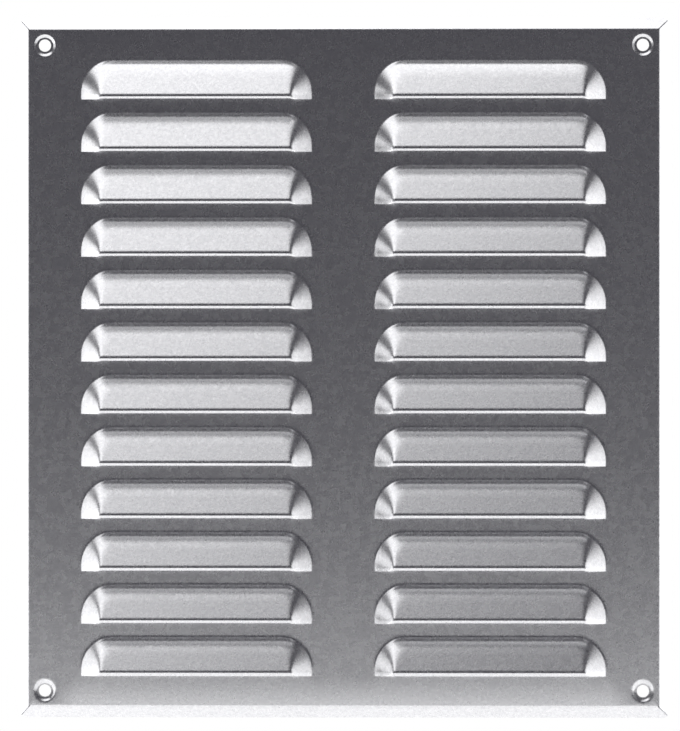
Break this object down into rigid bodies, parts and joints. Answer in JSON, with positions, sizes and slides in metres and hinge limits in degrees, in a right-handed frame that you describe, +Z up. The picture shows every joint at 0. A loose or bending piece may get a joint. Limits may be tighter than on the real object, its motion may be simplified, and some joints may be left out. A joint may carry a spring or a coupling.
{
  "type": "ventilation grille",
  "caption": "Flat pressed metal ventilation grille with hooded louvres opening downwards, an edge folded back to the wall and dished screw holes in the corners.",
  "frame": {"origin": "centre of the rectangle of screw holes, on the back face of the plate, inside the holes' walls", "axes": "-Y out of the wall towards the viewer, where the screws go in; +Z up, against the way the louvres open; +X to the viewer's right"},
  "size_m": [0.243, 0.0117, 0.26],
  "materials": {
    "sheet": "fine-grained satin, unpainted"
  },
  "bodies": {
    "root": {"louvre_plate": "sheet"}
  },
  "joints": []
}
